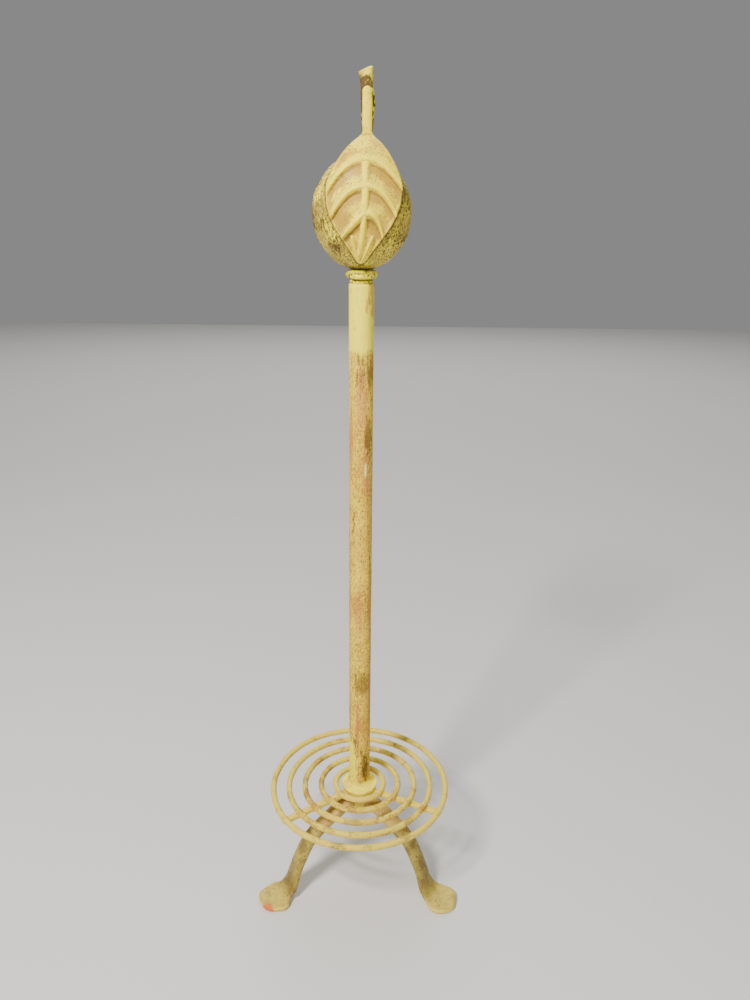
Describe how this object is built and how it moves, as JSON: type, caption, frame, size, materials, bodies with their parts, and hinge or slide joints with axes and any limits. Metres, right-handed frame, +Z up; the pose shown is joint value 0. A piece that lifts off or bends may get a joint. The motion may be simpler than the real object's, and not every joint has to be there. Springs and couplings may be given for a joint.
{
  "type": "paper towel holder",
  "caption": "Free-standing paper towel holder: bent-bar legs, concentric wire rings under the roll, a tube post and a screw-off fruit-and-leaf finial.",
  "frame": {"origin": "on the post's axis, in the plane that the three feet stand on", "axes": "+Z up along the post; -Y is the front, the side with the leaf; +X is to the right seen from the front"},
  "size_m": [0.1252, 0.1269, 0.469],
  "materials": {
    "ring_paint": "aged yellow-green paint, satin, rubbed through to brown",
    "spoke_paint": "aged yellow-green paint, satin, rubbed through to brown",
    "leg_paint": "aged yellow-green paint, satin, rubbed through to brown",
    "hub_paint": "aged yellow-green paint, satin, rubbed through to brown",
    "post_paint": "aged yellow-green paint, satin, rubbed through to brown",
    "neck_paint": "aged yellow-green paint, satin, rubbed through to brown",
    "fruit_paint": "aged yellow-green paint, satin, rubbed through to brown",
    "leaf_paint": "aged yellow-green paint, satin, rubbed through to brown",
    "stem_paint": "aged yellow-green paint, satin, rubbed through to brown",
    "steel": "plain zinc-grey steel, dull"
  },
  "bodies": {
    "stand": {"ring_outer": "ring_paint", "ring_second": "ring_paint", "ring_third": "ring_paint", "ring_fourth": "ring_paint", "ring_inner": "ring_paint", "spoke_front_left": "spoke_paint", "spoke_front_right": "spoke_paint", "spoke_back": "spoke_paint", "leg_front_left": "leg_paint", "leg_front_right": "leg_paint", "leg_back": "leg_paint", "leg_boss": "leg_paint", "hub_flange": "hub_paint", "base_screw": "steel", "base_washer": "steel", "post_tube": "post_paint", "post_bottom_plug": "steel", "post_top_insert": "steel"},
    "neck_ring": {"neck_collar": "neck_paint"},
    "finial": {"neck_band": "neck_paint", "finial_stud": "steel", "finial_boss": "steel", "fruit_front_shell": "fruit_paint", "fruit_back_shell": "fruit_paint", "leaf": "leaf_paint", "finial_stem": "stem_paint"}
  },
  "joints": [
    {"name": "finial_lift", "type": "slide", "parent": "stand", "child": "neck_ring", "axis": [0, 0, 1], "range_m": [0, 0.01207]},
    {"name": "finial_turn", "type": "hinge", "parent": "neck_ring", "child": "finial", "pos_m": [0, 0, 0.376], "axis": [0, 0, 1], "range_deg": [0, 3420]}
  ],
  "couplings": [
    {"joint": "finial_lift", "follows": "finial_turn", "m_per_rad": 0.00020213}
  ]
}
